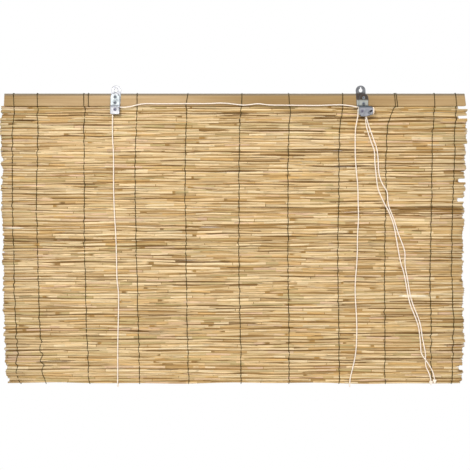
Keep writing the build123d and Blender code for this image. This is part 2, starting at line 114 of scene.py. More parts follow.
def blend_colours(tree, factor, under, over, way="MIX"):
    """One colour laid over another."""
    mixer = tree.nodes.new("ShaderNodeMix")
    mixer.data_type = "RGBA"
    mixer.blend_type = way
    feed(tree, factor, mixer.inputs[0])
    feed(tree, under, mixer.inputs[6])
    feed(tree, over, mixer.inputs[7])
    return mixer.outputs[2]


def ease(tree, value, low, high, to_low=0.0, to_high=1.0):
    """A value's way from low to high, eased into a new range."""
    span = tree.nodes.new("ShaderNodeMapRange")
    span.interpolation_type = "SMOOTHSTEP"
    for name, limit in (("From Min", low), ("From Max", high), ("To Min", to_low), ("To Max", to_high)):
        span.inputs[name].default_value = limit
    tree.links.new(value, span.inputs["Value"])
    return span.outputs["Result"]


def axis_of(tree, vector, axis):
    """One of a vector's three numbers."""
    split = tree.nodes.new("ShaderNodeSeparateXYZ")
    tree.links.new(vector, split.inputs[0])
    return split.outputs[axis]


def share_along(tree, value, low, high):
    """How far a value has come from low to high, as a share."""
    span = tree.nodes.new("ShaderNodeMapRange")
    span.inputs["From Min"].default_value = low
    span.inputs["From Max"].default_value = high
    tree.links.new(value, span.inputs["Value"])
    return span.outputs["Result"]


def relief(tree, shader, height, depth):
    """Bump of a given depth on a shader."""
    bump = tree.nodes.new("ShaderNodeBump")
    bump.inputs["Distance"].default_value = depth
    tree.links.new(height, bump.inputs["Height"])
    tree.links.new(bump.outputs["Normal"], shader.inputs["Normal"])


def dress(finish, *names):
    """Give CAD nodes a finish."""
    for name in names:
        for place in nodes[name].material_slots:
            place.material = finish


arris_band_tone = tone(120, 104, 79)
rail_finish, tree, shader = start_finish("planed_rail_wood")
streaks = grain(tree, (6, 160, 430), detail=5)
wood = shades(
    tree, streaks, (0.3, tone(158, 125, 79)), (0.52, tone(179, 148, 103)), (0.7, tone(192, 162, 118)),
)
patches = shades(
    tree, grain(tree, (4, 30, 60), detail=2), (0.3, tone(160, 127, 80)), (0.7, tone(190, 161, 118)),
)
wood = blend_colours(tree, 0.5, wood, patches)
along_rail = share_along(tree, axis_of(tree, place_on_part(tree, (1, 1, 1)), "X"), rail_low.x, rail_high.x)
browned_stops = [(place, (share, share, share, 1)) for place, share in rail_browning_shares]
browned = shades(tree, along_rail, *browned_stops)
browned_wood = blend_colours(tree, 1.0, wood, browning, "MULTIPLY")
wood = blend_colours(tree, browned, wood, browned_wood)
rings = tree.nodes.new("ShaderNodeTexWave")
rings.wave_type = "RINGS"
rings.rings_direction = "X"
rings.inputs["Scale"].default_value = 140
rings.inputs["Distortion"].default_value = 1.5
pith = tree.nodes.new("ShaderNodeVectorMath")
pith.inputs[1].default_value = (0, 0, rail_pith_below)
tree.links.new(place_on_part(tree, (1, 1, 1)), pith.inputs[0])
tree.links.new(pith.outputs[0], rings.inputs["Vector"])
end_grain = shades(tree, rings.outputs["Fac"], (0.2, tone(150, 108, 66)), (0.8, tone(203, 166, 116)))
facing = tree.nodes.new("ShaderNodeNewGeometry")
sideways = tree.nodes.new("ShaderNodeMath")
sideways.operation = "ABSOLUTE"
tree.links.new(axis_of(tree, facing.outputs["Normal"], "X"), sideways.inputs[0])
wood = blend_colours(tree, ease(tree, sideways.outputs[0], 0.5, 0.9), wood, end_grain)
height_up = axis_of(tree, place_on_part(tree, (1, 1, 1)), "Z")
# A darker grey-brown band is painted along the arris at the rail's top.
arris_band = ease(tree, height_up, rail_high.z - rail_arris, rail_high.z - rail_arris * arris_band_share)
wood = blend_colours(tree, arris_band, wood, arris_band_tone)
tree.links.new(wood, shader.inputs["Base Color"])
tree.links.new(ease(tree, streaks, 0.3, 0.7, 0.62, 0.45), shader.inputs["Roughness"])
relief(tree, shader, streaks, 0.00025)
dress(rail_finish, "headrail")


# Reeds: one dry stalk in each row of the mat, cut to length, with ragged hollow ends.
# A stalk tapers, bows a little and has knuckles where leaves grew. What is left of the leaf
# sheaths gives it stretches of cream, straw, olive and brown. Thin stalks fill the rows' seams, mostly
# brown as painted shade of the gaps.
mat_low, mat_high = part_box("reed_mat")
mat_middle_y = (mat_low.y + mat_high.y) / 2
# Rows of the mat: their heights, their places in depth, and the waves that they lie in.
row_size_shares = (0.94, 1.07, 0.88, 1.02, 1.12, 0.96, 0.90, 1.10, 1.00, 0.93, 1.08)
row_count = 110
row_height_spread = (0.72, 1.3)
row_depth_spread = 0.0006
row_depth_most = 0.001
long_sway = 0.0009
short_sway = 0.0007
# Length and phase of a row's long wave and of its short wave, least and most.
sway_least = (0.3, 0, 0.11, 0)
sway_most = (0.6, 1, 0.22, 1)
# Rows made of two stalks, which overlap where they meet.
spliced_row_share = 0.35
splice_place_shares = (0.2, 0.8)
splice_overlaps = (0.01, 0.05)
splice_depth = 0.0009
splice_rise = 0.0004
splice_size_share = 0.94
# Stalks, with their hollow ends.
stalk_sides = 7
stalk_size_spread = (0.86, 1.12)
thinnest_stalk = 0.0019
thickest_stalk = 0.0033
stalk_raggedness = 0.003
stalk_taper_shares = (0.08, 0.22)
stalk_bow = 0.0008
bow_lengths = (0.1, 0.3)
hollow_depth = 0.004
hollow_share = 0.55
hollow_floor_share = 0.5
# Stalks are painted darker towards the mat's left and right ends, fading out over a given length.
end_darkening = 0.24
darkened_length = 0.045
# Leaf sheaths along a stalk.
sheath_lengths = (0.02, 0.08)
sheath_edge = 0.0006
sheath_size_spread = (0.96, 1.04)
sheath_middle_spread = (0.92, 1.08)
sheath_end_spread = (0.86, 1.06)
# Knuckles, some with a brown mark and a few with a leaf scar. The scars have draws of their own.
first_knuckle = 0.02
shortest_internode = 0.055
longest_internode = 0.19
knuckle_swell = 1.07
marked_knuckle_share = 0.45
plain_mark_share = 0.8
mark_tone_spread = (0.8, 1.6)
mark_fade_spread = (1.0, 1.3)
scarred_knuckle_share = 0.16
scar_lengths = (0.003, 0.010)
scar_reach_share = 0.22
scar_tone_spread = (0.9, 1.7)
scars = np.random.default_rng(29)
# Reed tones, and how much of the mat has each.
reed_tones = [
    tone(238, 214, 170), tone(230, 203, 156), tone(221, 192, 144), tone(209, 177, 127),
    tone(212, 172, 110), tone(192, 169, 115), tone(221, 187, 152), tone(176, 140, 86), tone(195, 156, 97),
]
reed_tone_shares = (0.16, 0.20, 0.21, 0.15, 0.07, 0.08, 0.07, 0.03, 0.03)
other_tone_shares = (0.45, 1.0)
tone_spread = (0.88, 1.06)
knuckle_tone = np.array(tone(136, 104, 54))
seam_stalk_and_shade_tones = [tone(155, 119, 64), tone(122, 89, 40), tone(178, 142, 86), tone(203, 171, 117)]
# Slivers: thin stalks in the seams between rows, and shorter ones in front of the rows. The seam stalks
# are mostly brown, partly painted shade of the gaps between rows, and some front ones are dark brown
# strips of painted shade.
sliver_sides = 5
sliver_point = 0.01
sliver_end_share = 0.35
sliver_step = 0.04
sliver_least_sections = 4
sliver_tone_spread = (0.8, 1.15)
seam_overlap = 0.06
seam_reach = 0.002
seam_lengths = (0.12, 0.45)
seam_depths = (0.0002, 0.0012)
seam_radii = (0.0023, 0.0027)
front_slivers = 750
front_lengths = (0.03, 0.13)
front_margin = 0.01
front_radii = (0.0006, 0.0013)
front_depth_shares = (0.65, 0.9)
front_rise = 0.0018
front_tones = 5
brown_tones = 2
brown_sliver_share = 0.3
brown_size_share = 0.6
strip_front = 0.0040
# Strips in front of the mat: pixels from, to and at, their tone and their radius. The pale ones are strips
# of leaf, and the two dark ones are painted shade of gaps between rows.
strips_seen = (
    ((14, 37, 120), tone(84, 54, 22), 0.0011), ((36, 70, 362), tone(92, 62, 30), 0.0009),
    ((399, 428, 296), tone(255, 246, 222), 0.0017), ((4, 24, 228), tone(252, 240, 214), 0.0014),
)
cut_tone = np.array(tone(196, 158, 108))
# The floor of each hollow end is coloured near-black brown as painted shade inside the hollow.
hollow_shade_tone = np.array(tone(66, 46, 26))

# The photograph's view: the frame's middle and focal length in pixels, and the camera's aim.
photo_size = 470
photo_middle = photo_size / 2
focal_pixels = 1104.4
eye_distance = 2.4
pitch_sine = 0.072
pitch_cosine = math.sqrt(1 - pitch_sine**2)
aim_x = -0.0073
aim_z = -0.3119


def on_front(pixel_x, pixel_y):
    """Where a pixel of the photograph lies on the headrail's front plane: X and Z."""
    down = pixel_y - photo_middle
    drop = down * eye_distance / (focal_pixels * pitch_cosine - down * pitch_sine)
    across = (pixel_x - photo_middle) * (eye_distance + pitch_sine * drop) / focal_pixels
    return aim_x + across, aim_z - drop


def follow(pixels, heights):
    """X of a line of photograph pixels, read at given heights."""
    line = np.array([on_front(*pixel) for pixel in pixels])[::-1]
    return np.interp(heights, line[:, 1], line[:, 0])


left_edge_pixels = (
    (2, 107), (0, 125), (2, 165), (1, 197), (3, 237), (3, 301), (4.5, 341), (5.5, 365), (8, 380), (9, 384),
)
right_edge_pixels = (
    (468, 107), (466.5, 125), (466, 165), (464, 197), (463, 237), (463, 301), (464.5, 341), (463, 365),
    (462, 384),
)
short_end_pixels = ((458, 107.8), (458.4, 116.6), (458.5, 181), (457.5, 201), (459, 367))

row_heights = np.array([row_size_shares[row % len(row_size_shares)] for row in range(row_count)])
row_heights *= chance.uniform(*row_height_spread, row_count)
row_heights *= (mat_high.z - mat_low.z) / row_heights.sum()
row_tops = mat_high.z - np.concatenate([[0], np.cumsum(row_heights)[:-1]])
row_middles = row_tops - row_heights / 2
row_lefts = follow(left_edge_pixels, row_middles) + stalk_raggedness * chance.uniform(-1, 1, row_count)
row_rights = follow(right_edge_pixels, row_middles) + stalk_raggedness * chance.uniform(-1, 1, row_count)
row_radii = row_heights / 2 * chance.uniform(*stalk_size_spread, row_count)
row_radii = np.clip(row_radii, thinnest_stalk, thickest_stalk)
row_depths = np.clip(chance.normal(0, row_depth_spread, row_count), -row_depth_most, row_depth_most)
row_depths = mat_middle_y + row_depths
for pixel in short_end_pixels:
    short_end, height = on_front(*pixel)
    row_rights[np.argmin(abs(row_middles - height))] = short_end
row_waves = chance.uniform(sway_least, sway_most, (row_count, len(sway_least)))


def row_sway(row, xs):
    """Rise and fall of a row along X, in a long and a short wave."""
    long_wave, long_phase, short_wave, short_phase = row_waves[row]
    rise = long_sway * np.sin(math.tau * (xs / long_wave + long_phase))
    return rise + short_sway * np.sin(math.tau * (xs / short_wave + short_phase))


corners = []
faces = []
tones = []


def add_rings(centres, radii, colours, sides):
    """Join round sections across X into a stalk; each has a centre, a radius and a colour."""
    first = sum(len(block) for block in corners)
    turn = chance.uniform(0, math.tau) + np.arange(sides) * math.tau / sides
    around = np.stack([np.zeros(sides), np.cos(turn), np.sin(turn)], axis=1)
    corners.append((centres[:, None, :] + radii[:, None, None] * around[None]).reshape(-1, 3))
    tones.append(np.repeat(colours, sides, axis=0))
    for ring in range(len(centres) - 1):
        start = first + ring * sides
        for side in range(sides):
            beside = (side + 1) % sides
            faces.append((start + side, start + beside, start + sides + beside, start + sides + side))
    last = first + (len(centres) - 1) * sides
    faces.append(tuple(range(first + sides - 1, first - 1, -1)))
    faces.append(tuple(range(last, last + sides)))


def pick_tone(own):
    """A tone for one stretch of a stalk, part its own and part any reed's."""
    other = np.array(reed_tones[chance.choice(len(reed_tones), p=reed_tone_shares)])
    return (own + (other - own) * chance.uniform(*other_tone_shares)) * chance.uniform(*tone_spread)


def grow_stalk(length, radius):
    """Sections from butt to tip: distance from the butt, radius and colour of each."""
    own = np.array(reed_tones[chance.choice(len(reed_tones), p=reed_tone_shares)])
    taper = chance.uniform(*stalk_taper_shares) / length
    # The floors of the hollow ends take the dark painted shade tone.
    sections = [
        (hollow_depth, radius * hollow_floor_share, hollow_shade_tone), (0.0, radius * hollow_share, cut_tone),
        (0.0, radius, cut_tone),
    ]
    start = sheath_edge
    knuckle = chance.uniform(first_knuckle, longest_internode)
    while start < length - 2 * sheath_edge:
        stop = min(start + chance.uniform(*sheath_lengths), length - sheath_edge)
        at_knuckle = stop > knuckle
        thick = radius * (1 - taper * start) * chance.uniform(*sheath_size_spread)
        colour = pick_tone(own)
        sections.append((start, thick, colour))
        sections.append(((start + stop) / 2, thick, colour * chance.uniform(*sheath_middle_spread)))
        scarred = at_knuckle and scars.random() < scarred_knuckle_share
        scar = sheath_edge / 2
        if scarred:
            scar = min(scars.uniform(*scar_lengths), (stop - start) * scar_reach_share)
        sections.append((stop - 2 * scar, thick, colour * chance.uniform(*sheath_end_spread)))
        if at_knuckle:
            mark = colour * plain_mark_share
            if chance.random() < marked_knuckle_share:
                mark = knuckle_tone * chance.uniform(*mark_tone_spread)
            if scarred:
                mark = knuckle_tone * scars.uniform(*scar_tone_spread)
            sections.append((stop - scar, thick * knuckle_swell, mark))
            faded = mark * chance.uniform(*mark_fade_spread)
            sections.append((stop + sheath_edge, thick * knuckle_swell, faded))
            stop += sheath_edge
            knuckle = stop + chance.uniform(shortest_internode, longest_internode)
        start = stop + sheath_edge
    tip = radius * (1 - taper * length)
    sections += [
        (length, tip, cut_tone), (length, tip * hollow_share, cut_tone),
        (length - hollow_depth, tip * hollow_floor_share, hollow_shade_tone),
    ]
    return sections


def lay_stalk(row, x_from, x_to, y, z, radius):
    """One stalk along a row, its butt at either side, bowed a little."""
    sections = grow_stalk(x_to - x_from, radius)
    distance = np.array([section[0] for section in sections])
    radii = np.array([section[1] for section in sections])
    colours = np.array([section[2] for section in sections])
    xs = x_from + distance
    if chance.random() < 0.5:
        xs = x_to - distance
        xs, radii, colours = xs[::-1], radii[::-1], colours[::-1]
    # Painted darker towards the mat's left and right ends.
    from_edge = np.minimum(xs - row_lefts[row], row_rights[row] - xs)
    colours = colours * (1 - end_darkening * np.exp(-np.maximum(from_edge, 0) / darkened_length))[:, None]
    sway = row_sway(row, xs)
    depth = stalk_bow * np.sin(math.tau * (xs / chance.uniform(*bow_lengths) + chance.random()))
    add_rings(np.stack([xs, y + depth, z + sway], axis=1), radii, colours, stalk_sides)


def lay_sliver(x_from, x_to, y, z, radius, colour, rows):
    """A thin stalk, a strip of leaf or a dark strip of painted shade, with narrowed ends, which sways as
    the rows beside it do.
    """
    count = max(sliver_least_sections, int((x_to - x_from) / sliver_step))
    xs = np.linspace(x_from, x_to, count)
    xs[1] = min(xs[1], x_from + sliver_point)
    xs[-2] = max(xs[-2], x_to - sliver_point)
    radii = np.full(count, radius)
    radii[[0, -1]] *= sliver_end_share
    sway = sum(row_sway(row, xs) for row in rows) / max(len(rows), 1)
    centres = np.stack([xs, np.full(count, y), z + sway * np.ones(count)], axis=1)
    colours = colour * chance.uniform(*sliver_tone_spread, (count, 1))
    add_rings(centres, radii, colours, sliver_sides)


for row in range(row_count):
    left, right = row_lefts[row], row_rights[row]
    y, z, radius = row_depths[row], row_middles[row], row_radii[row]
    if chance.random() < spliced_row_share:
        meeting = left + (right - left) * chance.uniform(*splice_place_shares)
        overlap = chance.uniform(*splice_overlaps)
        radius *= splice_size_share
        lay_stalk(row, left, meeting + overlap, y - splice_depth, z + splice_rise, radius)
        lay_stalk(row, meeting - overlap, right, y + splice_depth, z - splice_rise, radius)
    else:
        lay_stalk(row, left, right, y, z, radius)
for row in range(row_count):
    seam = row_tops[row]
    above = max(row - 1, 0)
    x = max(row_lefts[row], row_lefts[above]) - seam_reach
    stop = min(row_rights[row], row_rights[above]) + seam_reach
    reach = x
    while reach < stop:
        reach = min(x + chance.uniform(*seam_lengths), stop)
        # Seam stalks take their tones here. The dark ones are painted shade of the gaps between rows.
        colour = np.array(seam_stalk_and_shade_tones[chance.integers(len(seam_stalk_and_shade_tones))])
        depth = mat_middle_y + chance.uniform(*seam_depths)
        lay_sliver(x, reach, depth, seam, chance.uniform(*seam_radii), colour, (above, row))
        x = reach - seam_overlap
for _ in range(front_slivers):
    row = chance.integers(1, row_count)
    length = chance.uniform(*front_lengths)
    x = chance.uniform(row_lefts[row] + front_margin, row_rights[row] - length - front_margin)
    colour = pick_tone(np.array(reed_tones[chance.integers(front_tones)]))
    radius = chance.uniform(*front_radii)
    # Some front slivers are short dark brown strips at the seam, painted shade of the gap.
    if chance.random() < brown_sliver_share:
        colour = np.array(seam_stalk_and_shade_tones[chance.integers(brown_tones)])
        radius *= brown_size_share
        length *= brown_size_share
    front = row_depths[row] - row_radii[row] * chance.uniform(*front_depth_shares)
    z = row_tops[row] + chance.uniform(-front_rise, front_rise)
    lay_sliver(x, x + length, front, z, radius, colour, (row,))
for (pixel_left, pixel_right, pixel_y), sliver_tone, radius in strips_seen:
    (x, z), (stop, _) = on_front(pixel_left, pixel_y), on_front(pixel_right, pixel_y)
    lay_sliver(x, stop, mat_middle_y - strip_front, z, radius, np.array(sliver_tone), ())


def make_piece(name, points, polygons, finish, body="frame"):
    """Smooth mesh piece that rides on a body."""
    mesh = bpy.data.meshes.new(name)
    mesh.from_pydata(np.asarray(points).tolist(), [], polygons)
    mesh.shade_smooth()
    mesh.materials.append(finish)
    piece = bpy.data.objects.new(name, mesh)
    bpy.context.scene.collection.objects.link(piece)
    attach(piece, body)
    return piece


reed_finish, tree, shader = start_finish("dry_reed")
own_tone = tree.nodes.new("ShaderNodeVertexColor")
own_tone.layer_name = "reed_tone"
fibres = grain(tree, (26, 700, 1100), detail=3)
fibre_shade = shades(tree, fibres, (0.3, (0.72, 0.70, 0.66, 1)), (0.55, (1, 1, 1, 1)))
reed_colour = blend_colours(tree, 1.0, own_tone.outputs["Color"], fibre_shade, "MULTIPLY")
flecks = ease(tree, grain(tree, (60, 260, 420), detail=2), 0.62, 0.74, 0.0, 0.6)
reed_colour = blend_colours(tree, flecks, reed_colour, tone(130, 100, 52))
tree.links.new(reed_colour, shader.inputs["Base Color"])
tree.links.new(ease(tree, fibres, 0.3, 0.7, 0.62, 0.42), shader.inputs["Roughness"])
shader.inputs["Specular IOR Level"].default_value = 0.35
relief(tree, shader, fibres, 0.0003)

reeds = make_piece("reed_stalks", np.concatenate(corners), faces, reed_finish)
reed_colours = reeds.data.color_attributes.new("reed_tone", "FLOAT_COLOR", "POINT")
reed_colours.data.foreach_set("color", np.concatenate(tones).astype(np.float32).ravel())
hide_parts("reed_mat")


# Stitch threads: dark olive twine, a line of stitches about every ten centimetres.
# Each is tied round the headrail, runs down over every reed in turn, under the last one
# and up the back. Two of them are wound round the headrail twice.
twine_radius = 0.00078
twine_wander = 0.0007
twine_sides = 6
twine_dip = 0.0013
seam_front = 0.0023
seam_back = 0.0036
reed_clear_share = 1.02
crest_seat_share = 0.7
seam_seat_share = 0.5
shoulder_share = 0.25
rail_corner = 0.002
rail_corner_share = 0.3
rail_front_shares = (0.3, 0.6, 0.9, 0.98)
# Each stitch line as it shows in the photograph, from the rail's top to the mat's foot.
stitch_pixels = {
    "stitch_thread_01": (
        (13.4, 95), (14.2, 105), (13.7, 108), (13.6, 117), (12.3, 125), (12, 160), (12, 200), (13, 240),
        (14, 280), (15, 320), (16.3, 331), (15.6, 338), (18.1, 341.5), (16.3, 344), (16.3, 351),
        (18.5, 353.5), (16.3, 359.5), (15.4, 364), (17.4, 366), (15.6, 372.5), (17, 377), (20.5, 384),
    ),
    "stitch_thread_02": (
        (37.2, 95), (36.7, 100), (37.5, 105.5), (37.2, 115), (37.5, 127), (37, 160), (36, 200), (37, 240),
        (38, 280), (39, 320), (39.7, 331), (39.7, 338), (42.2, 342), (39.7, 345), (39.7, 351.5),
        (42.9, 354.5), (40, 360.5), (40.2, 362.5), (43.8, 365), (41.7, 368.5), (41.5, 371), (44.6, 380),
        (45.5, 384),
    ),
    "stitch_thread_03": (
        (83.7, 95), (83.6, 105.5), (84.7, 108), (84.1, 120), (83.6, 128), (84, 160), (84, 200), (84, 240),
        (85, 280), (86, 320), (87, 350), (88.4, 353), (87, 358), (88.8, 366), (88, 374), (90, 384),
    ),
    "stitch_thread_04": (
        (137.1, 95), (137.9, 103), (136.6, 108), (136.9, 115), (136.2, 128), (135, 160), (135, 200),
        (136, 240), (137, 280), (138, 320), (139, 360), (139.5, 384),
    ),
    "stitch_thread_05": (
        (187.9, 95), (186.6, 102), (185.8, 105), (186.3, 110), (186.6, 115), (186.2, 128), (185, 160),
        (185, 200), (186, 240), (186, 280), (187, 320), (188, 360), (188.5, 384),
    ),
    "stitch_thread_06": (
        (242, 95), (241.9, 103), (241.3, 110), (240, 120), (239.5, 130), (239, 160), (239, 200),
        (239, 240), (239, 280), (240, 320), (241, 360), (241, 384),
    ),
    "stitch_thread_07": (
        (288.7, 95), (288.5, 104), (290.4, 107.5), (290.9, 112), (290.4, 116), (289.5, 119), (289.3, 128),
        (288, 160), (288, 200), (288, 240), (288, 280), (289, 320), (289, 360), (289.5, 384),
    ),
    "stitch_thread_08": (
        (342.7, 95), (343.2, 100), (342.7, 104), (342.4, 109), (341.6, 114), (340.8, 120), (340, 130),
        (339, 160), (339, 200), (338, 240), (338, 280), (339, 320), (339, 360), (339.5, 384),
    ),
    "stitch_thread_09": (
        (394.5, 95), (395.6, 106), (393.9, 108), (392.6, 112), (389.6, 119), (388.3, 123), (387.6, 130),
        (386, 160), (386, 200), (385, 240), (385, 280), (385, 320), (385, 360), (385.5, 384),
    ),
    "stitch_thread_10": (
        (434.3, 95), (435.9, 105), (434, 107), (434, 110), (434.6, 117), (434, 121), (432.7, 130),
        (432, 160), (432, 200), (431, 240), (430, 280), (431.5, 320), (432.1, 330), (430.5, 336.5),
        (431.8, 341), (430.5, 351), (432, 357), (430.7, 360.5), (431.4, 368), (431.5, 384),
    ),
    "stitch_thread_11": (
        (455.5, 95), (457.9, 105), (456.3, 106.5), (456.3, 120), (454.6, 128), (455, 160), (453, 200),
        (452, 240), (452, 280), (454, 320), (454.6, 331), (452.6, 337), (454.4, 343), (452.4, 348),
        (453.7, 355), (452.6, 360), (452.6, 372), (451.5, 384),
    ),
}
extra_wraps = {
    "stitch_thread_03": ((88.4, 95), (88.3, 105.5)),
    "stitch_thread_09": ((396.1, 95), (397.7, 106)),
}


def directions_along(line, closed):
    """Unit direction of a line at each of its points."""
    if closed:
        ahead = np.roll(line, -1, axis=0) - np.roll(line, 1, axis=0)
    else:
        ahead = np.gradient(line, axis=0)
    return ahead / np.linalg.norm(ahead, axis=1, keepdims=True)


def sides_along(line, closed=False):
    """Two side directions at each point of a line, carried along it without a twist."""
    ahead = directions_along(line, closed)
    side = np.cross(ahead[0], (0.3, 0.5, 0.81))
    firsts = []
    for direction in ahead:
        side = side - direction * (side @ direction)
        side = side / np.linalg.norm(side)
        firsts.append(side)
    firsts = np.array(firsts)
    return firsts, np.cross(ahead, firsts)


def tube(line, radius, sides, closed=False):
    """Corners and faces of a round tube along a line."""
    line = np.asarray(line)
    first, second = sides_along(line, closed)
    turn = np.arange(sides) * math.tau / sides
    radius = np.broadcast_to(radius, len(line))[:, None, None]
    ring = first[:, None, :] * np.cos(turn)[None, :, None]
    ring = ring + second[:, None, :] * np.sin(turn)[None, :, None]
    points = (line[:, None, :] + radius * ring).reshape(-1, 3)
    polygons = []
    count = len(line)
    for place in range(count if closed else count - 1):
        here, there = place * sides, (place + 1) % count * sides
        for side in range(sides):
            beside = (side + 1) % sides
            polygons.append((here + side, here + beside, there + beside, there + side))
    if not closed:
        polygons.append(tuple(range(sides - 1, -1, -1)))
        polygons.append(tuple(range((count - 1) * sides, count * sides)))
    return points, polygons


def joined(*meshes):
    """Several meshes' corners and faces as one."""
    points = []
    polygons = []
    for more_points, more_polygons in meshes:
        base = sum(len(block) for block in points)
        points.append(more_points)
        polygons += [tuple(corner + base for corner in polygon) for polygon in more_polygons]
    return np.concatenate(points), polygons


def rail_wrap(x_top, x_bottom):
    """Turn of twine round the headrail: up its back, over the top and down the front."""
    back, front = rail_high.y + twine_radius, rail_low.y - twine_radius
    top, bottom = rail_high.z + twine_radius, rail_low.z - twine_radius / 2
    inner = rail_corner * rail_corner_share
    drop = top - bottom
    lean = x_bottom - x_top
    path = [
        (x_bottom, back, bottom + rail_corner), (x_top, back, top - rail_corner),
        (x_top, back - inner, top - inner), (x_top, back - rail_corner, top),
        (x_top, front + rail_corner, top), (x_top, front + inner, top - inner),
        (x_top, front, top - rail_corner),
    ]
    for share in rail_front_shares:
        path.append((x_top + lean * share, front, top - drop * share))
    return path


def over_reeds(pixels, side):
    """Twine over each reed and into the seam below it, from the top one down; side is -1 in front."""
    path = []
    wander = chance.normal(0, twine_wander, row_count + 1)
    seam_least = seam_front if side < 0 else seam_back
    for row in range(row_count):
        lift = side * (row_depths[row] - mat_middle_y) + row_radii[row] * reed_clear_share
        lift = max(lift + twine_radius * crest_seat_share, seam_least + twine_radius * seam_seat_share)
        crest = mat_middle_y + side * lift
        seam = mat_middle_y + side * max(seam_least, lift - twine_dip)
        shoulder = crest - side * twine_dip * shoulder_share
        for y, share in ((shoulder, 0.25), (crest, 0.5), (shoulder, 0.75), (seam, 1.0)):
            z = row_tops[row] - row_heights[row] * share
            aside = wander[row] * (1 - share) + wander[row + 1] * share
            path.append((float(follow(pixels, z)) + aside, y, z))
    return path


twine_finish, tree, shader = start_finish("olive_twine")
plies = grain(tree, (500, 500, 900), detail=2)
twine_colour = shades(
    tree, plies, (0.3, tone(44, 36, 14)), (0.55, tone(70, 60, 28)), (0.8, tone(100, 86, 48)),
)
tree.links.new(twine_colour, shader.inputs["Base Color"])
shader.inputs["Roughness"].default_value = 0.85
shader.inputs["Specular IOR Level"].default_value = 0.2
relief(tree, shader, plies, 0.0004)

for name, pixels in stitch_pixels.items():
    x_top, x_bottom = (float(follow(pixels, z)) for z in (rail_high.z, rail_low.z))
    front = over_reeds(pixels, -1)
    back = over_reeds(pixels, 1)
    foot = front[-1][0]
    under = [(foot, mat_middle_y, row_tops[-1] - row_heights[-1] - twine_radius)]
    loop = rail_wrap(x_top, x_bottom) + front[:-1] + under + back[:-1][::-1]
    twine = [tube(loop, twine_radius, twine_sides, closed=True)]
    if name in extra_wraps:
        wrap_top, wrap_bottom = (on_front(*pixel)[0] for pixel in extra_wraps[name])
        turn = rail_wrap(wrap_top, wrap_bottom)
        bottom = rail_low.z - twine_radius / 2
        turn += [(wrap_bottom, rail_low.y, bottom), (wrap_bottom, rail_high.y, bottom)]
        twine.append(tube(turn, twine_radius, twine_sides, closed=True))
    piece = make_piece(name.replace("thread", "twine"), *joined(*twine), twine_finish)
    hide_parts(name)


# Left bracket: a hanger plate with its keyhole ring and a stepped front plate, both pressed
# from sheet steel and bright zinc plated. Two cross-head screws hold them to the headrail,
# and a tubular rivet carries the pulley between them.
zinc_drift = 0.004
worn_spread = 0.16
edge_steel_and_shade_tone = tone(84, 86, 92)
# Pale cream of a painted highlight, and how far it fades in.
fold_highlight_tone = tone(240, 218, 192)
fold_highlight_fade = 0.001


def zinc(name, worn, *stops, highlight_from=None):
    """Zinc plate on pressed steel: cloudy and spangled. It is darker within two millimetres of each edge,
    partly bare steel at the sheared edge and partly painted shade, and painted shade darkens its corners.
    Its tone changes up the part, given as heights and colours from the lowest. From one X on it may be
    painted pale as a painted highlight."""
    finish, tree, shader = start_finish(name)
    low, high = stops[0][0], stops[-1][0]
    clouds = grain(tree, (160, 160, 110), detail=4)
    drift = tree.nodes.new("ShaderNodeMath")
    drift.operation = "MULTIPLY_ADD"
    drift.inputs[1].default_value = zinc_drift
    tree.links.new(clouds, drift.inputs[0])
    tree.links.new(axis_of(tree, place_on_part(tree, (1, 1, 1)), "Z"), drift.inputs[2])
    up = share_along(tree, drift.outputs[0], low, high)
    colour = shades(tree, up, *[((height - low) / (high - low), stop) for height, stop in stops])
    cloudy = shades(
        tree, clouds, (0.3, (0.66, 0.67, 0.70, 1)), (0.52, (0.92, 0.92, 0.93, 1)), (0.7, (1, 1, 1, 1)),
    )
    colour = blend_colours(tree, 1.0, colour, cloudy, "MULTIPLY")
    spangle = tree.nodes.new("ShaderNodeTexVoronoi")
    spangle.inputs["Scale"].default_value = 700
    tree.links.new(place_on_part(tree, (1, 1, 1)), spangle.inputs["Vector"])
    crystal = axis_of(tree, spangle.outputs["Color"], "X")
    crystal = shades(tree, crystal, (0.0, (0.84, 0.84, 0.86, 1)), (1.0, (1, 1, 1, 1)))
    colour = blend_colours(tree, 1.0, colour, crystal, "MULTIPLY")
    # Within two millimetres of every edge the tone darkens. This is bare steel at the sheared edge and
    # painted shade spread onto the faces.
    rounded = tree.nodes.new("ShaderNodeBevel")
    rounded.samples = 12
    rounded.inputs["Radius"].default_value = 0.002
    flat = tree.nodes.new("ShaderNodeNewGeometry")
    turned = tree.nodes.new("ShaderNodeVectorMath")
    turned.operation = "DOT_PRODUCT"
    tree.links.new(rounded.outputs["Normal"], turned.inputs[0])
    tree.links.new(flat.outputs["True Normal"], turned.inputs[1])
    edge = ease(tree, turned.outputs["Value"], 0.92, 0.999, 0.9, 0.0)
    colour = blend_colours(tree, edge, colour, edge_steel_and_shade_tone)
    # Painted shade: the tone darkens in corners, recesses and under steps and folds.
    corner_shade_occlusion = tree.nodes.new("ShaderNodeAmbientOcclusion")
    corner_shade_occlusion.samples = 8
    corner_shade_occlusion.inputs["Distance"].default_value = 0.006
    corner_shade = shades(tree, corner_shade_occlusion.outputs["AO"], (0.35, (0.25, 0.24, 0.24, 1)), (0.8, (1, 1, 1, 1)))
    colour = blend_colours(tree, 1.0, colour, corner_shade, "MULTIPLY")
    # Painted highlight: from one X on, the tone turns pale cream.
    if highlight_from is not None:
        across = axis_of(tree, place_on_part(tree, (1, 1, 1)), "X")
        end_highlight = ease(tree, across, highlight_from, highlight_from + fold_highlight_fade)
        colour = blend_colours(tree, end_highlight, colour, fold_highlight_tone)
    tree.links.new(colour, shader.inputs["Base Color"])
    shader.inputs["Metallic"].default_value = 0.8
    tree.links.new(ease(tree, clouds, 0.3, 0.7, worn, worn + worn_spread), shader.inputs["Roughness"])
    relief(tree, shader, grain(tree, (1400, 300, 300), detail=2), 0.00005)
    return finish


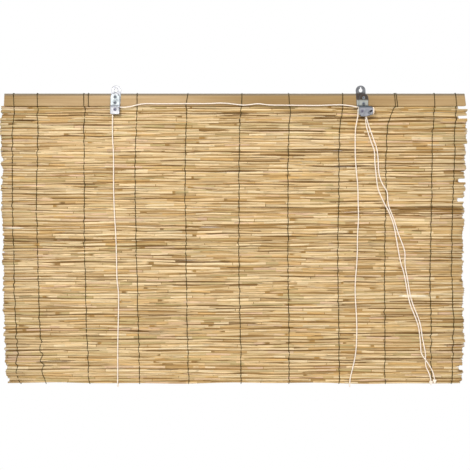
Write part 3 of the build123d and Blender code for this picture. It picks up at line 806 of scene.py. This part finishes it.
# Up the part, the dark band just above the front plate's step is painted shade of the step.
bright_zinc = zinc(
    "bright_zinc", 0.26, (-0.052, tone(208, 207, 206)), (-0.036, tone(202, 202, 204)),
    (-0.031, tone(104, 106, 112)), (-0.028, tone(204, 211, 211)), (-0.010, tone(204, 211, 210)),
    (-0.004, tone(214, 214, 216)), (0.012, tone(213, 213, 216)),
)
dress(bright_zinc, "left_hanger_plate", "left_pulley_plate")
rivet_finish = zinc("rivet_steel", 0.34, (-0.06, tone(134, 130, 148)), (0.0, tone(134, 130, 148)))
dress(rivet_finish, "left_pulley_rivet")


# Right bracket: the same kind of pair, with a wide front plate folded round the cord lock.
# Its zinc has dulled to a bluish grey, with a pale cream painted highlight at the folded end. Two screws
# hold the pair to the headrail, and a rivet carries two pulleys side by side.
lock_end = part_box("right_lock_plate")[1].x
# The lock plate's folded end gets a pale cream painted highlight this wide.
fold_highlight_width = 0.0028
# Up the part, the dark band at the step above the lock housing is painted shade of the step, and the dark
# brown-black band on the upper strap is a painted reflection.
grey_zinc = zinc(
    "grey_zinc", 0.34, (-0.058, tone(136, 137, 140)), (-0.037, tone(149, 150, 155)),
    (-0.033, tone(70, 78, 82)), (-0.031, tone(78, 84, 86)), (-0.029, tone(164, 166, 158)),
    (-0.020, tone(156, 158, 150)), (-0.017, tone(76, 66, 57)), (-0.005, tone(68, 60, 53)),
    (-0.001, tone(110, 111, 113)), (0.012, tone(118, 119, 121)), highlight_from=lock_end - fold_highlight_width,
)
dress(grey_zinc, "right_hanger_plate", "right_lock_plate")
dress(rivet_finish, "right_pulley_rivet")


# Plate screws: small pan-head steel screws with a cross recess, two in each bracket.
# They go through both plates into the headrail, and their recess is darkened with painted shade.
screw_finish = zinc("screw_steel", 0.34, (-0.04, tone(140, 146, 150)), (0.0, tone(140, 146, 150)))
dress(screw_finish, "left_plate_screws", "right_plate_screws")


# Pulleys: grooved wheels of pale moulded plastic, one in the left bracket and two in the right.
# They turn on the rivets between the plates.
pulley_finish, tree, shader = start_finish("pulley_plastic")
mould = grain(tree, (420, 420, 420), detail=3)
pulley_colour = shades(tree, mould, (0.35, tone(176, 170, 156)), (0.65, tone(206, 201, 189)))
tree.links.new(pulley_colour, shader.inputs["Base Color"])
tree.links.new(ease(tree, mould, 0.3, 0.7, 0.42, 0.6), shader.inputs["Roughness"])
relief(tree, shader, mould, 0.00006)
dress(pulley_finish, "left_sheave", "right_sheave_rear", "right_sheave_front")


# Cord lock: a ribbed steel roller on a headed pin, which slides in the slanted slots
# of the right bracket and jams the pull strands against the pulleys.
roller_finish = zinc("roller_steel", 0.3, (-0.06, tone(128, 130, 136)), (0.0, tone(128, 130, 136)))
dress(roller_finish, "lock_roller", "lock_roller_pin")


# Draw cords: two lengths of white three-strand cotton cord. Each is stapled behind the headrail,
# goes down the back, under the mat and up the front to its pulley. The left one crosses along
# the headrail, and both run over the right pulleys and hang down the front to a stop knot.
cord_diameter = 0.0026
strand_count = 3
strand_sides = 5
strand_offset_share = 0.235
strand_radius_share = 0.275
strand_lay = 0.0085
steps_per_turn = 9
# Each cord's route, from its staple to its knot.
left_route = (
    (-0.2635, 0.0137, -0.0130), (-0.2638, 0.0138, -0.0310), (-0.2642, 0.0133, -0.0620),
    (-0.2640, 0.0124, -0.1160), (-0.2634, 0.0118, -0.1730), (-0.2630, 0.0115, -0.2310),
    (-0.2633, 0.0114, -0.2890), (-0.2640, 0.0115, -0.3470), (-0.2646, 0.0114, -0.4050),
    (-0.2649, 0.0115, -0.4630), (-0.2646, 0.0116, -0.5200), (-0.2643, 0.0118, -0.5760),
    (-0.2642, 0.0120, -0.6120), (-0.2644, 0.0122, -0.6340), (-0.2645, 0.0121, -0.6465),
    (-0.2647, 0.0000, -0.6465), (-0.2648, -0.0001, -0.6340), (-0.2646, 0.0006, -0.6130),
    (-0.2644, 0.0008, -0.5840), (-0.2640, 0.0007, -0.5500), (-0.2631, 0.0008, -0.5160),
    (-0.2619, 0.0007, -0.4820), (-0.2612, 0.0008, -0.4480), (-0.2622, 0.0007, -0.4290),
    (-0.2649, 0.0008, -0.4100), (-0.2651, 0.0007, -0.3760), (-0.2656, 0.0008, -0.3410),
    (-0.2666, 0.0007, -0.3060), (-0.2689, 0.0008, -0.2710), (-0.2700, 0.0007, -0.2360),
    (-0.2705, 0.0008, -0.2010), (-0.2701, 0.0007, -0.1660), (-0.2700, 0.0006, -0.1320),
    (-0.2714, 0.0002, -0.1120), (-0.2718, -0.0008, -0.0930), (-0.2716, -0.0026, -0.0760),
    (-0.2709, -0.0039, -0.0600), (-0.2709, -0.00405, -0.0462), (-0.2709, -0.00405, -0.0354),
    (-0.2601, -0.00405, -0.0354), (-0.2480, -0.0040, -0.0362), (-0.2360, -0.0038, -0.0354),
    (-0.2190, -0.0035, -0.0312), (-0.2030, -0.0033, -0.0278), (-0.1720, -0.0032, -0.0286),
    (-0.1130, -0.0032, -0.0280), (-0.0620, -0.0032, -0.0283), (-0.0370, -0.0033, -0.0266),
    (-0.0150, -0.0033, -0.0286), (0.0060, -0.0032, -0.0312), (0.0200, -0.0032, -0.0313),
    (0.0420, -0.0033, -0.0277), (0.0630, -0.0032, -0.0314), (0.1080, -0.0032, -0.0316),
    (0.1680, -0.0033, -0.0324), (0.2040, -0.0034, -0.0310), (0.2230, -0.0036, -0.0306),
    (0.2410, -0.0039, -0.0326), (0.2570, -0.00405, -0.0360), (0.2742, -0.00405, -0.0360),
    (0.2742, -0.00405, -0.0532), (0.2740, -0.0036, -0.0660), (0.2766, -0.0019, -0.0800),
    (0.2808, -0.0005, -0.0930), (0.2874, 0.0000, -0.1120), (0.2948, 0.0001, -0.1300),
    (0.2948, 0.0000, -0.1510), (0.2974, 0.0000, -0.1740), (0.2996, -0.0001, -0.1940),
    (0.3022, -0.0002, -0.2120), (0.3100, -0.0003, -0.2295), (0.3186, -0.0003, -0.2475),
    (0.3254, -0.0002, -0.2585), (0.3323, -0.0001, -0.2750), (0.3384, 0.0000, -0.2925),
    (0.3429, 0.0001, -0.3165), (0.3480, 0.0001, -0.3450), (0.3536, 0.0000, -0.3745),
    (0.3595, 0.0001, -0.3900), (0.3643, 0.0000, -0.4110), (0.3691, 0.0001, -0.4400),
    (0.3757, 0.0000, -0.4670), (0.3844, 0.0001, -0.4860), (0.3938, 0.0000, -0.5105),
    (0.3967, -0.0003, -0.5310), (0.3989, -0.0010, -0.5530), (0.3993, -0.0026, -0.5700),
    (0.4060, -0.0038, -0.5815), (0.4148, -0.0038, -0.5925), (0.4215, -0.0020, -0.6035),
    (0.4268, -0.0012, -0.6140), (0.4294, -0.0016, -0.6240), (0.4304, -0.0022, -0.6325),
)
right_route = (
    (0.2545, 0.0137, -0.0130), (0.2542, 0.0138, -0.0310), (0.2539, 0.0133, -0.0620),
    (0.2534, 0.0124, -0.1160), (0.2532, 0.0118, -0.1730), (0.2526, 0.0115, -0.2310),
    (0.2516, 0.0114, -0.2890), (0.2509, 0.0115, -0.3470), (0.2498, 0.0114, -0.4050),
    (0.2491, 0.0115, -0.4630), (0.2480, 0.0116, -0.5200), (0.2467, 0.0118, -0.5760),
    (0.2461, 0.0120, -0.6120), (0.2455, 0.0122, -0.6340), (0.2452, 0.0121, -0.6465),
    (0.2450, 0.0000, -0.6465), (0.2444, -0.0001, -0.6340), (0.2463, 0.0006, -0.6220),
    (0.2502, 0.0008, -0.6070), (0.2540, 0.0007, -0.5900), (0.2570, 0.0008, -0.5720),
    (0.2586, 0.0007, -0.5520), (0.2593, 0.0008, -0.5190), (0.2579, 0.0007, -0.4840),
    (0.2551, 0.0008, -0.4500), (0.2546, 0.0007, -0.4150), (0.2577, 0.0008, -0.3800),
    (0.2592, 0.0007, -0.3450), (0.2587, 0.0008, -0.3100), (0.2613, 0.0007, -0.2760),
    (0.2596, 0.0008, -0.2400), (0.2591, 0.0007, -0.2060), (0.2549, 0.0008, -0.1710),
    (0.2525, 0.0006, -0.1370), (0.2523, -0.0004, -0.1130), (0.2519, -0.0022, -0.0950),
    (0.2524, -0.0052, -0.0790), (0.2548, -0.0084, -0.0650), (0.2570, -0.00935, -0.0532),
    (0.2570, -0.00935, -0.0360), (0.2742, -0.00935, -0.0360), (0.2742, -0.00935, -0.0532),
    (0.2768, -0.0084, -0.0650), (0.2818, -0.0052, -0.0790), (0.2874, -0.0020, -0.0930),
    (0.2934, -0.0005, -0.1090), (0.2994, 0.0000, -0.1240), (0.3022, 0.0001, -0.1450),
    (0.3028, 0.0000, -0.1660), (0.3046, 0.0000, -0.1810), (0.3084, -0.0001, -0.1935),
    (0.3148, -0.0002, -0.2065), (0.3230, -0.0003, -0.2170), (0.3237, -0.0003, -0.2340),
    (0.3252, -0.0002, -0.2480), (0.3306, -0.0001, -0.2610), (0.3392, 0.0000, -0.2810),
    (0.3460, 0.0001, -0.3050), (0.3550, 0.0000, -0.3270), (0.3618, 0.0001, -0.3450),
    (0.3629, 0.0000, -0.3570), (0.3622, 0.0001, -0.3710), (0.3643, 0.0000, -0.3890),
    (0.3694, 0.0001, -0.4105), (0.3734, 0.0000, -0.4380), (0.3806, 0.0001, -0.4640),
    (0.3892, 0.0000, -0.4830), (0.3986, 0.0001, -0.5085), (0.4023, 0.0002, -0.5370),
    (0.4073, 0.0003, -0.5580), (0.4106, 0.0004, -0.5760), (0.4098, 0.0003, -0.5900),
    (0.4112, 0.0002, -0.6020), (0.4176, -0.0002, -0.6140), (0.4214, -0.0010, -0.6250),
    (0.4226, -0.0022, -0.6355),
)


def smooth_line(name, route):
    """Points of the smooth line that a cord takes through its route."""
    curve = bpy.data.curves.new(name, "CURVE")
    curve.dimensions = "3D"
    curve.resolution_u = 24
    spline = curve.splines.new("NURBS")
    spline.points.add(len(route) - 1)
    for point, place in zip(spline.points, route):
        point.co = (*place, 1)
    spline.order_u = 3
    spline.use_endpoint_u = True
    guide = bpy.data.objects.new(name, curve)
    line = bpy.data.meshes.new_from_object(guide)
    places = np.array([corner.co for corner in line.vertices])
    bpy.data.objects.remove(guide)
    return places


def evenly(line, step):
    """Points a step apart along a line."""
    runs = np.linalg.norm(np.diff(line, axis=0), axis=1)
    along = np.concatenate([[0], np.cumsum(runs)])
    marks = np.linspace(0, along[-1], int(along[-1] / step) + 1)
    return np.stack([np.interp(marks, along, line[:, axis]) for axis in range(3)], axis=1), along[-1]


def rope(line):
    """Strands laid round each other along a line."""
    first, second = sides_along(line)
    step = strand_lay / steps_per_turn
    twist = np.arange(len(line)) * step / strand_lay * math.tau
    strands = []
    for strand in range(strand_count):
        turn = twist + strand * math.tau / strand_count
        aside = first * np.cos(turn)[:, None] + second * np.sin(turn)[:, None]
        strands.append(tube(line + aside * cord_diameter * strand_offset_share,
                            cord_diameter * strand_radius_share, strand_sides))
    return joined(*strands)


cord_finish, tree, shader = start_finish("white_cotton_cord")
yarns = grain(tree, (1500, 1500, 1500), detail=3)
cord_colour = shades(
    tree, yarns, (0.3, tone(236, 219, 200)), (0.55, tone(250, 238, 224)), (0.75, tone(255, 248, 240)),
)
tree.links.new(cord_colour, shader.inputs["Base Color"])
shader.inputs["Roughness"].default_value = 0.8
shader.inputs["Specular IOR Level"].default_value = 0.25
relief(tree, shader, yarns, 0.0002)

knot_size = 0.00105
knot_cord_radius = 0.00125
knot_points = 60
knot_sides = 8
knot_depth_share = 0.9
tail_length = 0.007
tail_length_shares = (0.75, 1.0)
tail_yarns = 7
tail_spread = 0.0012
tail_start_share = 0.4
tail_shares = (0, 0.35, 0.7, 1)
yarn_sides = 5
yarn_radii = 0.00045 * np.array([1, 1, 0.9, 0.5])


def stop_knot(end):
    """Overhand knot pulled tight round a cord's end, with a short frayed tail."""
    turn = np.linspace(0, math.tau, knot_points, endpoint=False)
    knot = np.stack([
        np.sin(turn) + 2 * np.sin(2 * turn), np.sin(3 * turn) * knot_depth_share,
        np.cos(turn) - 2 * np.cos(2 * turn),
    ], axis=1) * knot_size + end
    yarn_ends = [tube(knot, knot_cord_radius, knot_sides, closed=True)]
    for _ in range(tail_yarns):
        lean = np.array([chance.uniform(-1, 1), chance.uniform(-1, 1), 0]) * tail_spread
        drop = tail_length * chance.uniform(*tail_length_shares)
        start = end + lean * tail_start_share
        tail = [start + lean * share**2 - np.array([0, 0, drop * share]) for share in tail_shares]
        yarn_ends.append(tube(tail, yarn_radii, yarn_sides))
    return joined(*yarn_ends)


for side, route in (("left", left_route), ("right", right_route)):
    line, cord_length = evenly(smooth_line(f"{side}_cord_line", route), strand_lay / steps_per_turn)
    cord = make_piece(f"{side}_draw_cord", *rope(line), cord_finish)
    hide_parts(f"{side}_cord")
    knot = make_piece(f"{side}_stop_knot", *stop_knot(np.array(route[-1])), cord_finish)
    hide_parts(f"{side}_cord_knot")


# Cord staples: small staples of bright drawn wire, one for each cord.
# They are driven into the headrail's back over the cords' fixed ends.
staple_finish = zinc("staple_wire", 0.28, (-0.04, tone(190, 190, 188)), (0.0, tone(190, 190, 188)))
dress(staple_finish, "left_cord_staple", "right_cord_staple")


# Floor: a pale studio floor below the hanging blind, which fades to white behind it.
# Soft light comes from the upper left, with a weaker lamp on the right and one behind.
floor_drop = 1.0
floor_half_width = 3.0
floor_back = 2.2
floor_front = 4.5
floor_fade_start = 0.9
floor_z = mat_low.z - floor_drop


def shown_rays(tree):
    """1 for what the camera sees, straight or in metal, and 0 for light on the object."""
    paths = tree.nodes.new("ShaderNodeLightPath")
    seen = tree.nodes.new("ShaderNodeMath")
    tree.links.new(paths.outputs["Is Camera Ray"], seen.inputs[0])
    tree.links.new(paths.outputs["Is Glossy Ray"], seen.inputs[1])
    shown = tree.nodes.new("ShaderNodeMath")
    shown.use_clamp = True
    tree.links.new(seen.outputs[0], shown.inputs[0])
    tree.links.new(paths.outputs["Is Transmission Ray"], shown.inputs[1])
    return shown.outputs[0]


floor_finish, tree, shader = start_finish("pale_floor")
shader.inputs["Roughness"].default_value = 0.9
shader.inputs["Specular IOR Level"].default_value = 0.1
speckle = shades(
    tree, grain(tree, (3, 3, 3), detail=2), (0.3, tone(240, 240, 239)), (0.7, tone(246, 246, 245)),
)
tree.links.new(speckle, shader.inputs["Base Color"])
outward = tree.nodes.new("ShaderNodeVectorMath")
outward.operation = "LENGTH"
tree.links.new(place_on_part(tree, (1, 1, 0)), outward.inputs[0])
fading = tree.nodes.new("ShaderNodeMath")
fading.operation = "MULTIPLY"
tree.links.new(ease(tree, outward.outputs["Value"], floor_fade_start, floor_back), fading.inputs[0])
tree.links.new(shown_rays(tree), fading.inputs[1])
white = tree.nodes.new("ShaderNodeEmission")
faded = tree.nodes.new("ShaderNodeMixShader")
tree.links.new(fading.outputs[0], faded.inputs[0])
tree.links.new(shader.outputs[0], faded.inputs[1])
tree.links.new(white.outputs[0], faded.inputs[2])
tree.links.new(faded.outputs[0], tree.nodes["Material Output"].inputs["Surface"])
floor_mesh = bpy.data.meshes.new("floor")
floor_mesh.from_pydata(
    [(-floor_half_width, -floor_front, floor_z), (floor_half_width, -floor_front, floor_z),
     (floor_half_width, floor_back, floor_z), (-floor_half_width, floor_back, floor_z)],
    [], [(0, 1, 2, 3)],
)
floor_mesh.materials.append(floor_finish)
floor = bpy.data.objects.new("floor", floor_mesh)
bpy.context.scene.collection.objects.link(floor)

world = bpy.data.worlds.new("studio")
world.use_nodes = True
bpy.context.scene.world = world
tree = world.node_tree
backdrop = tree.nodes["Background"]
ambient = 0.42
tree.links.new(ease(tree, shown_rays(tree), 0, 1, ambient, 1.0), backdrop.inputs["Strength"])
backdrop.inputs["Color"].default_value = (1, 1, 1, 1)


def soft_lamp(name, place, target, size, watts):
    """Square area lamp that looks at a point."""
    light = bpy.data.lights.new(name, "AREA")
    light.size = size
    light.energy = watts
    lamp = bpy.data.objects.new(name, light)
    lamp.location = place
    away = np.array(place) - np.array(target)
    tip = math.atan2(math.hypot(away[0], away[1]), away[2])
    lamp.rotation_euler = (tip, 0, math.atan2(away[0], -away[1]))
    bpy.context.scene.collection.objects.link(lamp)


mat_centre = (aim_x, 0, aim_z)
soft_lamp("key_lamp", place=(-1.1, -3.5, 1.7), target=mat_centre, size=1.1, watts=116)
soft_lamp("fill_lamp", place=(1.8, -2.4, 0.2), target=mat_centre, size=1.6, watts=22)
soft_lamp("back_lamp", place=(0.6, 2.6, 1.2), target=mat_centre, size=1.6, watts=58)


# Camera: straight on, a little above the mat's middle and tipped down, as the photograph was taken.
# Its focal length comes from the size of the photograph in pixels.
view = bpy.data.cameras.new("camera")
view.sensor_fit = "HORIZONTAL"
view.sensor_width = 36
view.lens = focal_pixels * view.sensor_width / photo_size
camera = bpy.data.objects.new("camera", view)
camera.location = (aim_x, -eye_distance * pitch_cosine, aim_z + eye_distance * pitch_sine)
camera.rotation_euler = (math.pi / 2 - math.asin(pitch_sine), 0, 0)
bpy.context.scene.collection.objects.link(camera)
bpy.context.scene.camera = camera
bpy.context.scene.view_settings.view_transform = "Standard"
